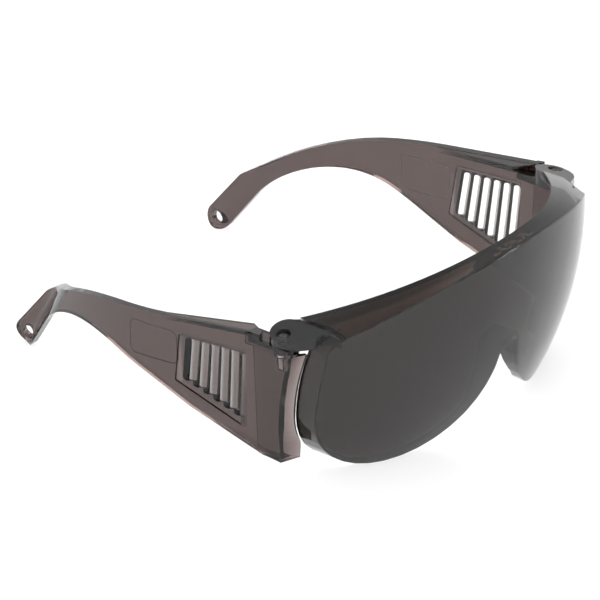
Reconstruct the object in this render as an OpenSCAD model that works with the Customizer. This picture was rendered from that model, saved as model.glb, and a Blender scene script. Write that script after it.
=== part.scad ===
// Wrap-around safety glasses: a one-piece lens shield with a brow shelf and side
// flanges, two vented temples and the two hinge pins that join them.
// Millimetres. +Z is up, -Y is the way the wearer looks and Z = 0 is the table that
// the glasses stand on, resting on the lens's two lobes and on the two ear tips.

/* [Hinges] */
// Distance between the two hinge pins
hinge_span = 138; // [134:1:142]
// Height of a hinge lug's top over its pin
lug_top = 52; // [51.5:0.1:52.5]
// Thickness of a hinge lug at the pin
lug_h = 3.4; // [3:0.1:3.8]
// Radius of a lug's rounded end
lug_r = 5.2; // [5:0.1:5.6]
// Slope of a lug's top, down towards the outside
lug_slope = 16; // [12:1:18]
// Diameter of a hinge pin
pin_d = 2.7; // [2.4:0.1:3]
// Height of a temple's knuckle
knuckle_h = 2.4; // [2:0.1:2.8]
// Vertical gap between a lug and the knuckle under it
lug_gap = 0.2; // [0.15:0.05:0.3]

/* [Lens] */
// Radius of the lens's outer sphere
lens_r = 107; // [105:1:110]
// Distance from the pins forward to the front of the lens
lens_reach = 37.2; // [36:0.2:38]
// Thickness of the lens
lens_t = 2.2; // [2:0.1:2.6]
// Height of the lens's top edge in the middle
lens_top = 63.9; // [63:0.1:65]
// Height of the top of the nose notch
nose_top = 33.2; // [32:0.2:34]
// Thickness of the flanges round the lens
flange_t = 2; // [1.8:0.1:2.2]
// Depth of the flange round the nose notch, behind the lens
nose_flange = 6.5; // [5:0.5:7]
// Depth of the rim along the bottom, behind the lens
bottom_rim = 1.4; // [1:0.1:2]

/* [Brow shelf] */
// Height of the shelf's rear edge in the middle
brow_top = 67.4; // [67:0.1:68]
// How far the rear edge falls from the middle to the hinges
brow_fall = 14.4; // [13.5:0.1:15]
// Thickness of the shelf
brow_t = 2.2; // [2:0.1:2.4]

/* [Temples] */
// Thickness of a temple's wall
temple_t = 2.2; // [2:0.1:2.4]
// Distance of a temple's outer face from the middle, at the top
temple_x = 71.8; // [71.4:0.1:72.2]
// How much further out the front stretch of a temple stands
wing_step = 0.5; // [0.3:0.1:0.7]
// Inward lean of the temples, towards the bottom
lean = 3.5; // [3:0.5:4]
// Tilt of the lines that the temples are bent on, forward towards the top
bend_tilt = 26.3; // [24:0.1:28]
// Radius of the inward bend behind the vents
bend_r = 66; // [64:1:68]
// Radius of an ear tip
tip_r = 4.3; // [4.2:0.1:4.4]
// Outward turn of the ear tips
tip_flare = 11; // [9:1:13]
// Diameter of the lanyard hole
lanyard_d = 4.2; // [3.8:0.1:4.4]

/* [Vents] */
// Number of vent slots in a temple
vents = 6; // [4:1:7]
// Width of a vent slot, square to its vanes
vent_w = 1.75; // [1.6:0.05:1.9]
// Slant of the vanes between the slots, so that nothing flies straight in
vent_turn = 50; // [45:1:52]
// Depth of the vents' recess in the outer face
vent_recess = 0.7; // [0.5:0.1:0.9]

/* [Hidden] */
$fn = 96;
smooth_fn = 240;

// Distances along Y below are measured rearwards from the pins, and y_mid puts the
// middle of the whole part at Y = 0
hinge_x = hinge_span / 2;
tip_y = 118.6;
y_mid = (tip_y + tip_r - lens_reach) / 2;
smoke = [0.30, 0.28, 0.27, 0.75];

// The lens's outline is seen from the front, as arcs that meet tangentially
lens_y = lens_r - lens_reach;
lens_z = 48.6;
top_r = 172;
corner_r = 8;
side_r = 70;
side_c = [-3, 33];
lobe_r = 27;
inner_r = 35.8;
top_c = [0, lens_top - top_r];
corner_c = meet(top_c, top_r - corner_r, side_c, side_r - corner_r);
lobe_c = [side_c[0] + sqrt(pow(side_r - lobe_r, 2) - pow(lobe_r - side_c[1], 2)), lobe_r];
inner_c = [lobe_c[0], inner_r];
nose_drop = nose_top - inner_r;
nose_r = (pow(inner_c[0], 2) + pow(nose_drop, 2) - pow(inner_r, 2)) / (2 * (inner_r + nose_drop));
nose_c = [0, nose_top - nose_r];
lobe_join_z = side_c[1] + (lobe_c[1] - side_c[1]) * side_r / (side_r - lobe_r);

// The side flanges' rear edge, seen from the side, is one arc
flange_r = 220;
flange_y = -221;
flange_z = -5;

// The shelf's rear edge, seen from above
brow_mid_y = -32.5;
brow_end_x = 66;
brow_square = 29.6;
brow_fourth = 8.2;
brow_crown = 1.6;
nose_rear = -26.8;
shelf_end = 61.5;
shelf_steps = 20;

// Heights in the hinge
lug_z = lug_top - lug_h;
knuckle_top = lug_z - lug_gap;
knuckle_z = knuckle_top - knuckle_h;
knuckle_r = 5.2;
knuckle_rear = 12.6;
knuckle_in = 66.5;
lug_off = 1.8;
collar_r = 2.2;
collar_h = 0.5;
counterbore_r = collar_r + 0.15;
counterbore_h = 1.3;
lug_plate = 2.9;
pin_gap = 0.06;
tail_r = 1.9;
tail_h = 0.6;

// A temple's outline, seen from the side: straight top and bottom lines that run into
// the curve over the ear and end in the round tip
tip_c = [tip_y, tip_r];
front_top_z = 52.1;
top_slope = 9.5;
lip_drop = 0.15;
back_r = 110;
back_from = 64;
back_to = 110;
tip_top_a = 36;
under_c = [79.5, 27.5];
under_r1 = 40;
under_r2 = 36;
under_r3 = 26;
under_a1 = 20;
under_a2 = 33.4;
under_a3 = 57.5;
low_slope = 15.6;
wing_z = 6.2;
wing_rear = 9.6;
back_z = front_top_z - back_from * tan(top_slope);
back_c = [back_from - back_r * sin(top_slope), back_z - back_r * cos(top_slope)];
// The plan of a temple's wall, measured square to the bend lines: an inward bend, a
// tighter one, a short straight and a reverse bend into the ear tip's outward turn
bend_from = 61;
bend_a = 33;
tight_r = 16;
tight_a = 54;
link_len = 4.2;
reverse_r = 5;
plan_end = 116;

// The lanyard hole, square to the ear tip
hole_x = -47.8;
hole_z = 4.2;
hole_turn = atan(tan(tip_flare) * cos(bend_tilt));
hole_rise = atan((tan(tip_flare) * sin(bend_tilt) + tan(lean)) * cos(hole_turn));

// The vents' recess, seen from the side
vent_front = 14.8;
vent_len = 25;
vent_lean = [3.6, 7.7];
vent_top_z = 41.6;
vent_top_fall = 0.102;
vent_low_z = 14.2;
vent_low_rise = 0.298;
vent_first = 1.9;
vent_last = 21.4;
vent_end = [0.6, 2];

// Intersection of two circles, on the right of the line between their centres
function meet(c0, r0, c1, r1) =
    let (d = norm(c1 - c0), u = (c1 - c0) / d, a = (d * d + r0 * r0 - r1 * r1) / (2 * d))
    c0 + a * u + sqrt(r0 * r0 - a * a) * [u[1], -u[0]];

// Points along an arc
function arc(c, r, from, to, n) = [for (i = [0:n]) c + r * [cos(from + (to - from) * i / n),
                                                           sin(from + (to - from) * i / n)]];

// Angle of the line from one point to another
function heading(a, b) = atan2(b[1] - a[1], b[0] - a[0]);

// Right half of the lens's outline, inset by d, from the top down to the nose
function half_outline(d) = concat(
    arc(top_c, top_r - d, 90, heading(top_c, corner_c), 7),
    arc(corner_c, corner_r - d, heading(top_c, corner_c), heading(side_c, corner_c), 5),
    arc(side_c, side_r - d, heading(side_c, corner_c), heading(side_c, lobe_c), 5),
    arc(lobe_c, lobe_r - d, heading(side_c, lobe_c), -90, 8),
    arc(inner_c, inner_r - d, -90, heading(inner_c, nose_c), 9),
    arc(nose_c, nose_r + d, heading(nose_c, inner_c), 90, 4));

// The whole outline, without the points that repeat where arcs meet
function outline(d) =
    let (h = half_outline(d), n = len(h))
    let (right = [for (i = [0:n - 1]) if (i == 0 || norm(h[i] - h[i - 1]) > 0.01) h[i]], m = len(right))
    concat(right, [for (i = [m - 2:-1:1]) [-right[i][0], right[i][1]]]);

// Half width of the lens at a height, on its side
function side_x(z) = z > lobe_join_z
    ? side_c[0] + sqrt(side_r * side_r - pow(z - side_c[1], 2))
    : lobe_c[0] + sqrt(lobe_r * lobe_r - pow(z - lobe_c[1], 2));

// Height of the crease under the shelf, and the lens's outer face behind the front
function crease_z(x) = top_c[1] + sqrt(top_r * top_r - x * x);
function face_y(x, z) = lens_y - sqrt(lens_r * lens_r - x * x - pow(z - lens_z, 2));
function flange_rear(z) = flange_y + sqrt(flange_r * flange_r - pow(z - flange_z, 2));
function brow_y(x) = brow_mid_y + brow_square * pow(x / brow_end_x, 2) + brow_fourth * pow(x / brow_end_x, 4);
function brow_z(x) = brow_top - brow_fall * pow(x / brow_end_x, 2);

// A temple's front corner, seen from the side
function wing_y(z) = 1 - 0.0055 * pow(z - 15, 2);
function top_line(y) = front_top_z - y * tan(top_slope);

// A closed skin over sections that all have the same number of points
module skin(sections) {
    n = len(sections[0]);
    m = len(sections);
    sides = [for (i = [0:m - 2]) for (j = [0:n - 1]) for (k = [0, 1])
        k == 0 ? [i * n + j, i * n + (j + 1) % n, (i + 1) * n + (j + 1) % n]
               : [i * n + j, (i + 1) * n + (j + 1) % n, (i + 1) * n + j]];
    start = [for (j = [0:n / 2 - 2]) [n - 1 - j, n - 2 - j, j + 1, j]];
    end = [for (j = [0:n / 2 - 2]) [j, j + 1, n - 2 - j, n - 1 - j] + (m - 1) * n * [1, 1, 1, 1]];
    polyhedron([for (s = sections) for (p = s) p], concat(start, sides, end), convexity = 6);
}

// A bar along Y of the shape that is seen from the front
module along_y(y0, y1) {
    translate([0, y1, 0])
        rotate([90, 0, 0])
            linear_extrude(y1 - y0)
                children();
}

// A bar along X of the shape that is seen from the side
module along_x(x0, x1) {
    translate([x0, 0, 0])
        rotate([90, 0, 90])
            linear_extrude(x1 - x0)
                children();
}

// What lies behind the lens's outer face, down to a depth
module behind_lens(depth) {
    translate([0, lens_y, lens_z])
        difference() {
            sphere(lens_r, $fn = smooth_fn);
            sphere(lens_r - depth, $fn = smooth_fn);
        }
}

module lens() {
    intersection() {
        behind_lens(lens_t);
        along_y(-lens_reach - 2, 20) polygon(outline(0));
    }
}

// The wall that stands on the lens's outline
module outline_wall() {
    along_y(-lens_reach - 2, 20)
        difference() {
            polygon(outline(0));
            polygon(outline(flange_t));
        }
}

module bottom_edge() {
    intersection() {
        behind_lens(lens_t + bottom_rim);
        outline_wall();
        translate([-70, -50, -5]) cube([140, 60, 30]);
    }
}

module nose_edge() {
    intersection() {
        behind_lens(lens_t + nose_flange);
        outline_wall();
        translate([-19, -50, 6]) cube([38, nose_rear + 50, 40]);
    }
}

module side_edges() {
    intersection() {
        behind_lens(30);
        outline_wall();
        translate([-80, flange_y, flange_z]) rotate([0, 90, 0]) cylinder(r = flange_r, h = 160, $fn = smooth_fn);
        for (s = [-1, 1]) {
            along_x(s * 65 - 15, s * 65 + 15)
                polygon([[-50, -5], [-10.4, -5], [-9.6, 1.5], [-6, 3.2], [-3, 5.5], [-1.8, 8],
                         [0, 12], [0, 45], [-50, 45]]);
            translate([s * 65 - 6.2, -50, 40]) cube([12.4, 60, 17]);
        }
    }
}

// One section of the shelf: crease, crown and rear edge, then the same underneath
function shelf_section(x) =
    let (z = crease_z(x), y = face_y(x, z), yr = brow_y(x), zr = brow_z(x))
    let (crown = brow_crown * pow(x / brow_end_x, 2), ym = (y + yr) / 2, zm = (z + zr) / 2 + crown)
    [[x, y + 0.8, z], [x, ym, zm], [x, yr, zr],
     [x, yr, zr - brow_t], [x, ym, zm - brow_t], [x, y + 1.2, z - brow_t]];

module brow_shelf() {
    for (side = [0, 1])
        mirror([side, 0, 0])
            skin([for (i = [0:shelf_steps]) shelf_section(shelf_end * i / shelf_steps)]);
}

// A lug's outline, seen from above, with the corner that carries it
function lug_plan(inner) = concat([[-59.2, -15.2]], inner,
                                  arc([lug_off - 0.1 - hinge_x, 0.3], lug_r, 10, 196, 16),
                                  [[-71.9, -3.4], [-70.6, -6], [-68.4, -8.2], [-65.6, -9.7],
                                   [-62.5, -11.2], [-60.6, -13.4]]);

// The left lug; under its top plate it is cut back, so that the temple's lip can pass
module lug() {
    intersection() {
        union() {
            translate([0, 0, lug_z])
                linear_extrude(8)
                    polygon(lug_plan([[-59.2, -6.5], [-60.2, -4.6], [-62.3, -3.6]]));
            translate([0, 0, lug_z + lug_plate])
                linear_extrude(8)
                    polygon(lug_plan([[-59.2, -6.5], [-60.5, -2.2]]));
        }
        translate([-hinge_x, 0, lug_top])
            rotate([0, -lug_slope, 0])
                translate([-20, -30, -20])
                    cube([50, 60, 20]);
    }
}

module front_shield() {
    color(smoke)
        translate([0, -y_mid, 0])
            difference() {
                union() {
                    lens();
                    bottom_edge();
                    nose_edge();
                    side_edges();
                    brow_shelf();
                    lug();
                    mirror([1, 0, 0]) lug();
                }
                for (s = [-1, 1]) {
                    translate([s * hinge_x, 0, lug_z - 5]) cylinder(d = pin_d, h = 12);
                    translate([s * hinge_x, 0, lug_top - counterbore_h]) cylinder(r = counterbore_r, h = 6);
                }
            }
}

// Outline of a temple, seen from the side
function temple_outline() = concat(
    [for (z = [46, 37, 27, 17, wing_z]) [wing_y(z), z]],
    [[wing_rear + 1.8, wing_z + 1], [wing_rear + 2.6, wing_z + 1.2], [37, 14.1]],
    arc([under_c[0], under_c[1] - under_r1], under_r1, 90 + under_a1, 90, 4),
    arc([under_c[0], under_c[1] - under_r2], under_r2, 88, 90 - under_a2, 6),
    arc([under_c[0] + (under_r2 - under_r3) * sin(under_a2),
         under_c[1] - under_r2 + (under_r2 - under_r3) * cos(under_a2)],
        under_r3, 88 - under_a2, 90 - under_a3, 4),
    arc(tip_c, tip_r, 270 - under_a3, 360 + tip_top_a, 16),
    arc(back_c, back_r, 90 - asin((back_to - back_c[0]) / back_r), 90 - top_slope, 9),
    [[wing_y(46), top_line(wing_y(46))]]);

// A temple's wall along the bend lines, as a path at a distance out from its middle
function temple_path(out) =
    let (c1 = [bend_r + temple_t / 2 - temple_x, bend_from])
    let (c2 = c1 + (bend_r - tight_r) * [-cos(bend_a), sin(bend_a)])
    let (e2 = c2 + tight_r * [-cos(tight_a), sin(tight_a)])
    let (e3 = e2 + link_len * [sin(tight_a), cos(tight_a)])
    let (c3 = e3 + reverse_r * [-cos(tight_a), sin(tight_a)])
    let (e4 = c3 + (reverse_r - out) * [cos(tip_flare), sin(tip_flare)])
    concat([[temple_t / 2 - temple_x - out, -40]],
           arc(c1, bend_r + out, 180, 180 - bend_a, 8),
           arc(c2, tight_r + out, 180 - bend_a, 180 - tight_a, 4),
           arc(c3, reverse_r - out, -tight_a, tip_flare, 6),
           [e4 + (plan_end - e4[1]) * [-tan(tip_flare), 1]]);

// A slab along the top or the bottom line, for the lips that stand inwards
module sloped_slab(y, z, slope, low, high) {
    translate([0, y, z])
        rotate([slope, 0, 0])
            translate([-90, -60, low])
                cube([60, 160, high - low]);
}

// Leans what stands upright on a temple's line, about the height of its top
module leaned() {
    translate([-temple_x, 0, 50])
        rotate([0, -lean, 0])
            translate([temple_x, 0, -50])
                children();
}

module wall() {
    inside = temple_path(-temple_t / 2);
    intersection() {
        leaned() {
            rotate([bend_tilt, 0, 0])
                translate([0, 0, -60])
                    linear_extrude(125)
                        polygon(concat(temple_path(temple_t / 2),
                                       [for (i = [len(inside) - 1:-1:0]) inside[i]]));
            translate([0, 0, -10])
                linear_extrude(75)
                    polygon([[-temple_x - wing_step, -12], [-temple_x - wing_step, wing_rear],
                             [-temple_x + 0.5, wing_rear], [-temple_x + 0.5, -12]]);
        }
        along_x(-80, -40) polygon(temple_outline());
    }
}

// The lip along the top, which widens towards the hinge
module top_lip() {
    intersection() {
        translate([0, 0, 30])
            linear_extrude(30)
                polygon([[-temple_x + 0.5, 5], [-65.4, 5], [-65.4, 13], [-69.6, 52], [-temple_x + 0.5, 52]]);
        sloped_slab(0, front_top_z, -top_slope, -2, -lip_drop);
    }
}

// The lip along the bottom of the front stretch
module bottom_lip() {
    intersection() {
        translate([0, 0, wing_z + 0.2])
            linear_extrude(30)
                polygon([[-69.2, 2.5], [-63.5, 1.5], [-66.8, 8], [-67.6, 34], [-69.6, 34]]);
        sloped_slab(wing_rear + 2.6, wing_z + 1.2, low_slope, 0.2, 2);
    }
}

// The wall that turns inwards in front of the pin and closes the side
function return_section(z) =
    let (x = -temple_x - wing_step + (50 - z) * tan(lean), xe = -max(side_x(z) + 0.9, 62.8))
    let (y = wing_y(z), ye = flange_rear(z) - 0.5)
    [[x, y, z], [x + 1, y + 2.2, z], [xe + 0.5, ye + 1.1, z], [xe, ye, z]];

module return_wall() {
    skin([for (z = [wing_z:2:knuckle_z + 1]) return_section(z)]);
}

module knuckle() {
    intersection() {
        translate([0, 0, knuckle_z])
            linear_extrude(8)
                polygon(concat([[-temple_x - wing_step, knuckle_rear], [-temple_x - wing_step, -3.6]],
                               arc([-hinge_x, 0], knuckle_r, 230, 335, 8),
                               [[-knuckle_in + 1.2, 0], [-knuckle_in + 1.2, knuckle_rear]]));
        sloped_slab(0, front_top_z, -top_slope, -20, -2 * lip_drop);
    }
}

// Room for the lug to turn in, and the bore for the pin
module hinge_cuts() {
    translate([0, 0, knuckle_top])
        linear_extrude(12)
            polygon([[-90, -40], [-50, -40], [-50, 20], [-62, 20], [-69.7, 7.7], [-71.5, 7], [-74, 6.4], [-90, 6.4]]);
    translate([-hinge_x, 0, knuckle_z - 6]) cylinder(d = pin_d + 2 * pin_gap, h = 12);
    translate([-hinge_x, 0, knuckle_z - 1.4]) cylinder(r = tail_r + 0.4, h = 1.4);
}

// Line of the recess's top and bottom at a distance from its front
function vent_top(t) = vent_top_z - vent_top_fall * t;
function vent_low(t) = vent_low_z + vent_low_rise * t;
function vent_point(t, z) =
    [vent_front + t + (vent_top_z - z) * tan(vent_lean[0] + (vent_lean[1] - vent_lean[0]) * t / vent_len), z];

// One slot, cut forward as it goes in, with round ends
module vent_slot(t) {
    r = vent_w / 2;
    top = vent_point(t, vent_top(t) - vent_end[0] - r);
    low = vent_point(t, vent_low(t) + vent_end[1] + r);
    translate([vent_recess - temple_x, top[0], 0])
        rotate([0, 0, -vent_turn])
            along_x(-3, 5)
                polygon(concat([for (a = [0:30:180]) [r * cos(a), top[1] + r * sin(a)]],
                               [for (a = [180:30:360]) [(low[0] - top[0]) * cos(vent_turn) + r * cos(a),
                                                        low[1] + r * sin(a)]]));
}

module vent_cuts() {
    leaned() {
        along_x(-90, vent_recess - temple_x)
            polygon([vent_point(0, vent_top(0)), vent_point(vent_len, vent_top(vent_len)),
                     vent_point(vent_len, vent_low(vent_len)), vent_point(0, vent_low(0))]);
        for (i = [0:vents - 1])
            vent_slot(vent_first + (vent_last - vent_first) * i / (vents - 1));
    }
}

// The left temple; the right one is its mirror image
module temple() {
    translate([0, -y_mid, 0])
        difference() {
            union() {
                wall();
                top_lip();
                bottom_lip();
                return_wall();
                knuckle();
            }
            hinge_cuts();
            vent_cuts();
            translate([hole_x, tip_y, hole_z])
                rotate([0, 90 - hole_rise, hole_turn])
                    cylinder(d = lanyard_d, h = 16, center = true);
        }
}

module left_temple() {
    color(smoke) temple();
}

module right_temple() {
    color(smoke) mirror([1, 0, 0]) temple();
}

// A hinge pin: the shaft, the collar on the lug's counterbore and the snap tail
module hinge_pin() {
    translate([0, -y_mid, 0]) {
        translate([0, 0, knuckle_z - 0.1]) cylinder(d = pin_d, h = lug_top - 0.4 - knuckle_z + 0.1);
        translate([0, 0, lug_top - counterbore_h]) cylinder(r = collar_r, h = collar_h);
        translate([0, 0, knuckle_z - 0.1 - tail_h]) cylinder(r = tail_r, h = tail_h);
    }
}

module left_hinge_pin() {
    color(smoke) translate([-hinge_x, 0, 0]) hinge_pin();
}

module right_hinge_pin() {
    color(smoke) translate([hinge_x, 0, 0]) hinge_pin();
}

front_shield();
left_temple();
right_temple();
left_hinge_pin();
right_hinge_pin();
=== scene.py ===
import math

import bmesh
import bpy
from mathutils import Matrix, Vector


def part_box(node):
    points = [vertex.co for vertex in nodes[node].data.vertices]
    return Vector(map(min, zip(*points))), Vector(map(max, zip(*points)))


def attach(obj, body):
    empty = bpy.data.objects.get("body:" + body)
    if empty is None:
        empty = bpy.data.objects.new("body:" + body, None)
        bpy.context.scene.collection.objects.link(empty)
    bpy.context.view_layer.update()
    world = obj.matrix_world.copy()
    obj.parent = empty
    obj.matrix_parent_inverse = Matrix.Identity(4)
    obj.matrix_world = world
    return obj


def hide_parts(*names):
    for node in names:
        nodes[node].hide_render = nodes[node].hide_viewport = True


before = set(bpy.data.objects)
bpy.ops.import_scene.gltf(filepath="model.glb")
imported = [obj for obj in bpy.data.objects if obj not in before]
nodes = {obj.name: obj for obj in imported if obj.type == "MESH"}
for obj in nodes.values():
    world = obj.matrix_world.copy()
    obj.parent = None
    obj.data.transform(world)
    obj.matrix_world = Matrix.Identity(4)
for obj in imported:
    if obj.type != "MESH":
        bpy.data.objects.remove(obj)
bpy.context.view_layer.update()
scene = bpy.context.scene

MM = 0.001


def centre(node):
    """The middle of a CAD node's box."""
    lo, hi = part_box(node)
    return (lo + hi) / 2


pin_y = centre("left_hinge_pin").y


# ---------------------------------------------------------------- shader helpers
def new_material(name):
    material = bpy.data.materials.new(name)
    material.use_nodes = True
    nt = material.node_tree
    return material, nt, nt.nodes["Principled BSDF"]


def object_point(nt):
    return nt.nodes.new("ShaderNodeTexCoord").outputs["Object"]


def math_node(nt, op, a, b):
    """A Math node on two values, each of them a socket or a number."""
    n = nt.nodes.new("ShaderNodeMath")
    n.operation = op
    for i, v in enumerate((a, b)):
        if hasattr(v, "links"):
            nt.links.new(v, n.inputs[i])
        else:
            n.inputs[i].default_value = v
    return n.outputs[0]


def noise(nt, vector, scale, detail=3.0, rough=0.5):
    n = nt.nodes.new("ShaderNodeTexNoise")
    n.inputs["Scale"].default_value = scale
    n.inputs["Detail"].default_value = detail
    n.inputs["Roughness"].default_value = rough
    nt.links.new(vector, n.inputs["Vector"])
    return n.outputs["Fac"]


def mapped(nt, source, scale, turn):
    n = nt.nodes.new("ShaderNodeMapping")
    n.inputs["Scale"].default_value = scale
    n.inputs["Rotation"].default_value = turn
    nt.links.new(source, n.inputs["Vector"])
    return n.outputs[0]


# ---------------------------------------------------------------- materials
def smoke(name, density, colour, rough, scratch, wave, cloud):
    """Moulded smoke polycarbonate: clear skin, absorbing body, hairline wear.

    density and colour are the body's absorption. rough and scratch are how much its haze and
    its hairlines add to the roughness, and wave is how strongly the skin undulates. cloud is
    the small share of light that the plastic scatters back.
    """
    material, nt, b = new_material(name)
    pos = object_point(nt)
    b.inputs["Base Color"].default_value = (1, 1, 1, 1)
    b.inputs["Transmission Weight"].default_value = 1 - cloud
    b.inputs["IOR"].default_value = 1.47

    haze = noise(nt, pos, 60, 4)
    streaks = noise(nt, mapped(nt, pos, (900, 60, 60), (0.3, 0.2, 0.4)), 1, 3, 0.6)
    hairlines = math_node(nt, "POWER", streaks, 6.0)
    r = math_node(nt, "MULTIPLY", haze, rough)
    r = math_node(nt, "ADD", r, math_node(nt, "MULTIPLY", hairlines, scratch))
    nt.links.new(r, b.inputs["Roughness"])

    bump = nt.nodes.new("ShaderNodeBump")
    bump.inputs["Strength"].default_value = wave
    bump.inputs["Distance"].default_value = 0.2 * MM
    nt.links.new(noise(nt, pos, 90, 2), bump.inputs["Height"])
    nt.links.new(bump.outputs[0], b.inputs["Normal"])

    body = nt.nodes.new("ShaderNodeVolumeAbsorption")
    body.inputs["Color"].default_value = (*colour, 1)
    body.inputs["Density"].default_value = density
    nt.links.new(body.outputs[0], nt.nodes["Material Output"].inputs["Volume"])
    return material


def paint_shade_between(material, y0, y1, z_low, z_top, soft, shade):
    """Paints shade into a material's skin between two heights over a stretch of Y, in metres.

    z_low and z_top are (height at y0, height at y1).
    """
    nt = material.node_tree
    split = nt.nodes.new("ShaderNodeSeparateXYZ")
    nt.links.new(object_point(nt), split.inputs[0])
    y, z = split.outputs["Y"], split.outputs["Z"]

    def inside(value, edge, sign):
        """0 to 1 over the soft width, on the side of edge that sign points to."""
        d = math_node(nt, "MULTIPLY", math_node(nt, "SUBTRACT", value, edge), sign / soft)
        return math_node(nt, "MINIMUM", math_node(nt, "MAXIMUM", d, 0.0), 1.0)

    def line(heights):
        slope = (heights[1] - heights[0]) / (y1 - y0)
        return math_node(nt, "ADD", math_node(nt, "MULTIPLY", y, slope), heights[0] - slope * y0)

    mask = math_node(nt, "MULTIPLY", inside(y, y0, 1), inside(y, y1, -1))
    mask = math_node(nt, "MULTIPLY", mask, inside(z, line(z_low), 1))
    mask = math_node(nt, "MULTIPLY", mask, inside(z, line(z_top), -1))

    # painted shade: inside the mask the skin's colour is darkened towards shade
    mix = nt.nodes.new("ShaderNodeMix")
    mix.data_type = "RGBA"
    clear, shaded = [i for i in mix.inputs if i.type == "RGBA"]
    clear.default_value = (1, 1, 1, 1)
    shaded.default_value = (*shade, 1)
    painted_shade_colour = [o for o in mix.outputs if o.type == "RGBA"][0]
    nt.links.new(mask, mix.inputs["Factor"])
    nt.links.new(painted_shade_colour, nt.nodes["Principled BSDF"].inputs["Base Color"])


def dark_plastic(name, colour, grain, rough_low, rough_high):
    """Opaque dark plastic, its gloss uneven at the scale of grain."""
    material, nt, b = new_material(name)
    b.inputs["Base Color"].default_value = (*colour, 1)
    gloss = nt.nodes.new("ShaderNodeMapRange")
    gloss.inputs["To Min"].default_value = rough_low
    gloss.inputs["To Max"].default_value = rough_high
    nt.links.new(noise(nt, object_point(nt), grain, 3), gloss.inputs["Value"])
    nt.links.new(gloss.outputs[0], b.inputs["Roughness"])
    return material


lens_mat = smoke("smoke_lens", density=3000, colour=(0.345, 0.240, 0.175),
                 rough=0.02, scratch=0.05, wave=0.03, cloud=0.012)
temple_mat = smoke("smoke_temple", density=1600, colour=(0.390, 0.300, 0.280),
                   rough=0.03, scratch=0.06, wave=0.04, cloud=0.0)
pin_mat = dark_plastic("pin_nylon", (0.035, 0.031, 0.029), grain=900, rough_low=0.22, rough_high=0.4)
bead_mat = dark_plastic("smoke_bead", (0.085, 0.076, 0.074), grain=700, rough_low=0.3, rough_high=0.5)

# The stretch of the vents, from the pins' Y, with its heights at the front and at the back.
# Its skin is given painted shade there, as the slanted bars are thinner than the wall and pass too much
# light.
vents_front = pin_y + 14.35 * MM
vents_back = pin_y + 40.35 * MM
vents_low = (13.5 * MM, 21.3 * MM)
vents_top = (42.3 * MM, 39.7 * MM)
paint_shade_between(temple_mat, vents_front, vents_back, vents_low, vents_top, 0.6 * MM, (0.42, 0.41, 0.41))


# ---------------------------------------------------------------- the mouldings
def dress(node, material, edge):
    """Gives a CAD node its material and moulded, softly rounded edges."""
    o = nodes[node]
    o.data.materials.clear()
    o.data.materials.append(material)
    weld = o.modifiers.new("weld", "WELD")
    weld.merge_threshold = 0.002 * MM
    bevel = o.modifiers.new("edges", "BEVEL")
    bevel.limit_method = "ANGLE"
    bevel.angle_limit = math.radians(32)
    bevel.width = edge
    bevel.segments = 3
    bevel.use_clamp_overlap = True
    normals = o.modifiers.new("normals", "WEIGHTED_NORMAL")
    normals.keep_sharp = False
    normals.weight = 80
    for f in o.data.polygons:
        f.use_smooth = True


dress("front_shield", lens_mat, 0.25 * MM)
dress("left_temple", temple_mat, 0.2 * MM)
dress("right_temple", temple_mat, 0.2 * MM)


# ---------------------------------------------------------------- added pieces
def mesh_piece(name, bm, material, body):
    """Makes a smooth piece of a bmesh, riding on a body."""
    me = bpy.data.meshes.new(name)
    bmesh.ops.recalc_face_normals(bm, faces=bm.faces)
    bm.to_mesh(me)
    bm.free()
    for f in me.polygons:
        f.use_smooth = True
    o = bpy.data.objects.new(name, me)
    scene.collection.objects.link(o)
    me.materials.append(material)
    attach(o, body)
    return o


def fillet(middle, r, a0, a1, steps=5):
    """Points of an arc from angle a0 to a1, in degrees."""
    angles = [math.radians(a0 + (a1 - a0) * i / steps) for i in range(steps + 1)]
    return [(middle[0] + r * math.cos(a), middle[1] + r * math.sin(a)) for a in angles]


def turned(name, profile, middle, material, body, steps=72):
    """A closed lathe form from (radius, height) points, the first and last on the axis."""
    bm = bmesh.new()
    turns = [2 * math.pi * k / steps for k in range(steps)]
    rings = []
    for r, z in profile:
        if r == 0:
            rings.append([bm.verts.new((middle.x, middle.y, z))])
        else:
            rings.append([bm.verts.new((middle.x + r * math.cos(t), middle.y + r * math.sin(t), z))
                          for t in turns])
    for a, b in zip(rings, rings[1:]):
        for k in range(steps):
            m = (k + 1) % steps
            if len(a) == 1:
                bm.faces.new((a[0], b[k], b[m]))
            elif len(b) == 1:
                bm.faces.new((a[k], a[m], b[0]))
            else:
                bm.faces.new((a[k], a[m], b[m], b[k]))
    return mesh_piece(name, bm, material, body)


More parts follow.
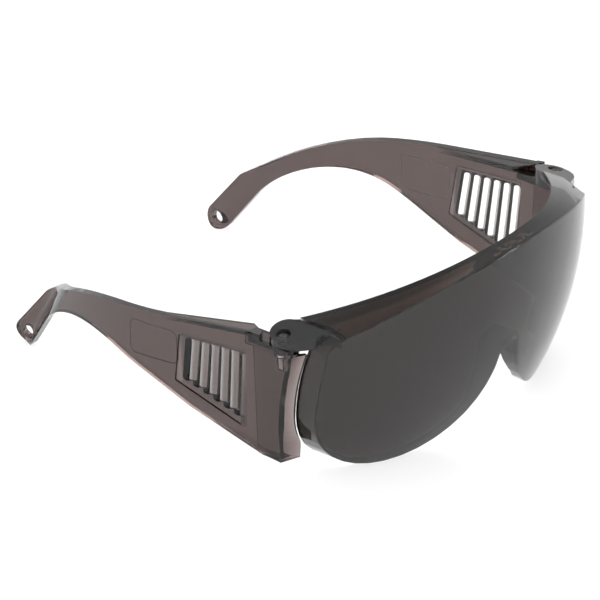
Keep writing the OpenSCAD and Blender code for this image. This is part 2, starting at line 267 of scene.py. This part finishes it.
def hinge_pin(side):
    """A pin with a collar, a ringed head and a rounded snap tail, in the CAD pin's own room."""
    node = side + "_hinge_pin"
    lo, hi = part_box(node)
    low, top = lo.z / MM, hi.z / MM
    shaft_r, tail_r, collar_r = 1.35, 1.9, 2.2
    tail_h, collar_h = 0.6, 0.5
    round_r, rim_r = 0.25, 0.2
    groove_in, groove_out, groove_deep, groove_side = 0.43, 0.75, 0.12, 0.07
    collar = top - 0.9
    tail = fillet((tail_r - round_r, low + round_r), round_r, -90, 0)
    tail += [(tail_r, low + 0.35), (1.6, low + tail_h)]
    shaft = [(shaft_r, low + tail_h), (shaft_r, collar)]
    rim = [(collar_r - round_r, collar)]
    rim += fillet((collar_r - rim_r, collar + rim_r), rim_r, -90, 0)
    rim += fillet((collar_r - rim_r, collar + collar_h - rim_r), rim_r, 0, 90)
    head = [(shaft_r, collar + collar_h)] + fillet((shaft_r - round_r, top - round_r), round_r, 0, 90)
    ring = [(groove_out, top), (groove_out - groove_side, top - groove_deep)]
    ring += [(groove_in + groove_side, top - groove_deep), (groove_in, top)]
    profile = [(0, low)] + tail + shaft + rim + head + ring + [(0, top)]
    pin = turned(side + "_pin_turned", [(r * MM, z * MM) for r, z in profile], centre(node), pin_mat,
                 "front")
    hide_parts(node)


for side in ("left", "right"):
    hinge_pin(side)


# The marking panel's outline, on the inside of each temple. The temple's wall is flat, then bent
# inwards on tilted lines, and the whole leans in towards the bottom. Lengths are in millimetres.
BEND_TILT = math.radians(26.3)  # of the lines that the wall is bent on
BEND_FROM = 61                  # where the bend starts, across those lines
INNER_BEND_R = 64.9             # of the bent wall's inner face
INNER_X = 69.6                  # of the flat wall's inner face, before the lean
LEAN = math.radians(3.5)
LEAN_X, LEAN_Z = 71.8, 50       # the line that the wall leans about
PANEL_SLOPE = 0.08              # fall of the panel's outline towards the ear
PANEL_LEVEL_Y = 52              # where the outline stands at its stated height


def wall_point(y, z, side):
    """A point on a temple's inner face; y behind the pin and z up, in millimetres."""
    past = y * math.cos(BEND_TILT) + z * math.sin(BEND_TILT) - BEND_FROM
    x = INNER_X
    if past > 0:
        x += math.sqrt(INNER_BEND_R ** 2 - past ** 2) - INNER_BEND_R
    dx, dz = LEAN_X - x, z - LEAN_Z
    x = LEAN_X - dx * math.cos(LEAN) + dz * math.sin(LEAN)
    z = LEAN_Z + dx * math.sin(LEAN) + dz * math.cos(LEAN)
    return Vector((side * x * MM, pin_y + y * MM, z * MM))


def rounded_loop(y0, y1, z0, z1, r, spacing=0.8):
    """A rounded rectangle as a closed line of (y, z) points, at most about spacing apart."""
    left, right, low, high = y0 + r, y1 - r, z0 + r, z1 - r
    corners = []
    for quarter, middle in enumerate(((right, high), (left, high), (left, low), (right, low))):
        corners += fillet(middle, r, 90 * quarter, 90 * quarter + 90, 8)
    loop = []
    for a, b in zip(corners, corners[1:] + corners[:1]):
        steps = max(1, int(math.hypot(b[0] - a[0], b[1] - a[1]) / spacing))
        loop += [(a[0] + (b[0] - a[0]) * k / steps, a[1] + (b[1] - a[1]) * k / steps) for k in range(steps)]
    return loop


def bead(name, loop, half, height, side, material, body):
    """A low rounded bead along a closed line on a temple's inner face."""
    section = ((-1, -0.05), (-0.7, 0.6), (0, 1), (0.7, 0.6), (1, -0.05))
    bm = bmesh.new()
    rings = []
    for k, (y, z) in enumerate(loop):
        before, after = loop[k - 1], loop[(k + 1) % len(loop)]
        ty, tz = after[0] - before[0], after[1] - before[1]
        d = math.hypot(ty, tz)
        ring = []
        for across, up in section:
            by = y - tz / d * across * half
            bz = z + ty / d * across * half
            v = wall_point(by, bz + PANEL_SLOPE * (PANEL_LEVEL_Y - by), side)
            v.x -= side * up * height * MM
            ring.append(bm.verts.new(v))
        rings.append(ring)
    for a, b in zip(rings, rings[1:] + rings[:1]):
        for k in range(len(section)):
            m = (k + 1) % len(section)
            bm.faces.new((a[k], a[m], b[m], b[k]))
    return mesh_piece(name, bm, material, body)


panel = rounded_loop(y0=42, y1=61, z0=26, z1=38, r=2.5)
bead_half, bead_height = 0.16, 0.12
for body, side in (("left_temple", -1), ("right_temple", 1)):
    bead(body + "_panel_outline", panel, bead_half, bead_height, side, bead_mat, body)


# ---------------------------------------------------------------- studio
def studio_floor():
    mesh = bpy.data.meshes.new("studio_floor")
    bm = bmesh.new()
    bmesh.ops.create_grid(bm, x_segments=1, y_segments=1, size=6)
    bm.to_mesh(mesh)
    bm.free()
    floor = bpy.data.objects.new("studio_floor", mesh)
    scene.collection.objects.link(floor)
    material, _, b = new_material("studio_floor")
    b.inputs["Base Color"].default_value = (0.93, 0.93, 0.93, 1)
    b.inputs["Roughness"].default_value = 0.9
    b.inputs["Specular IOR Level"].default_value = 0.1
    floor.data.materials.append(material)


def studio_world():
    """White all round, and dimmer straight overhead."""
    world = bpy.data.worlds.new("studio")
    world.use_nodes = True
    nt = world.node_tree
    split = nt.nodes.new("ShaderNodeSeparateXYZ")
    overhead = nt.nodes.new("ShaderNodeMapRange")
    overhead.inputs["From Min"].default_value = 0.75
    overhead.inputs["From Max"].default_value = 0.97
    overhead.inputs["To Min"].default_value = 0.85
    overhead.inputs["To Max"].default_value = 0.35
    direction = nt.nodes.new("ShaderNodeTexCoord").outputs["Generated"]
    background = nt.nodes["Background"]
    background.inputs["Color"].default_value = (1, 1, 1, 1)
    nt.links.new(direction, split.inputs[0])
    nt.links.new(split.outputs["Z"], overhead.inputs["Value"])
    nt.links.new(overhead.outputs[0], background.inputs["Strength"])
    scene.world = world


def sky_panel():
    """The main light. It casts no shadow, so the smoke plastic leaves no dark patch on the floor."""
    data = bpy.data.lights.new("sky_panel", "SUN")
    data.energy = 2.4
    data.angle = math.radians(12)
    data.use_shadow = False
    sun = bpy.data.objects.new("sky_panel", data)
    scene.collection.objects.link(sun)
    sun.rotation_euler = Vector((-0.30, -0.64, 0.80)).to_track_quat("Z", "Y").to_euler()


def strip_light():
    data = bpy.data.lights.new("strip", "AREA")
    data.shape = "RECTANGLE"
    data.size, data.size_y = 0.5, 0.2
    data.energy = 1.5
    place = Vector((0.9, 0.2, 0.9))
    strip = bpy.data.objects.new("strip", data)
    scene.collection.objects.link(strip)
    strip.location = place
    strip.rotation_euler = (Vector((0, 0, 0.03)) - place).to_track_quat("-Z", "Y").to_euler()


def camera(azimuth, elevation, distance, aim):
    """A long lens far away, for a view with almost no perspective."""
    data = bpy.data.cameras.new("camera")
    data.sensor_width = 36
    data.lens = 1600
    data.clip_start = 0.05
    data.clip_end = 60
    cam = bpy.data.objects.new("camera", data)
    scene.collection.objects.link(cam)
    az, el = math.radians(azimuth), math.radians(elevation)
    back = Vector((math.sin(az) * math.cos(el), -math.cos(az) * math.cos(el), math.sin(el)))
    cam.location = aim + back * distance
    cam.rotation_euler = back.to_track_quat("Z", "Y").to_euler()
    scene.camera = cam


studio_floor()
studio_world()
sky_panel()
strip_light()
camera(azimuth=-51.65, elevation=28.7, distance=8.398, aim=Vector((0, 0.00514, 0.01824)))
scene.view_settings.view_transform = "Standard"
scene.view_settings.look = "None"
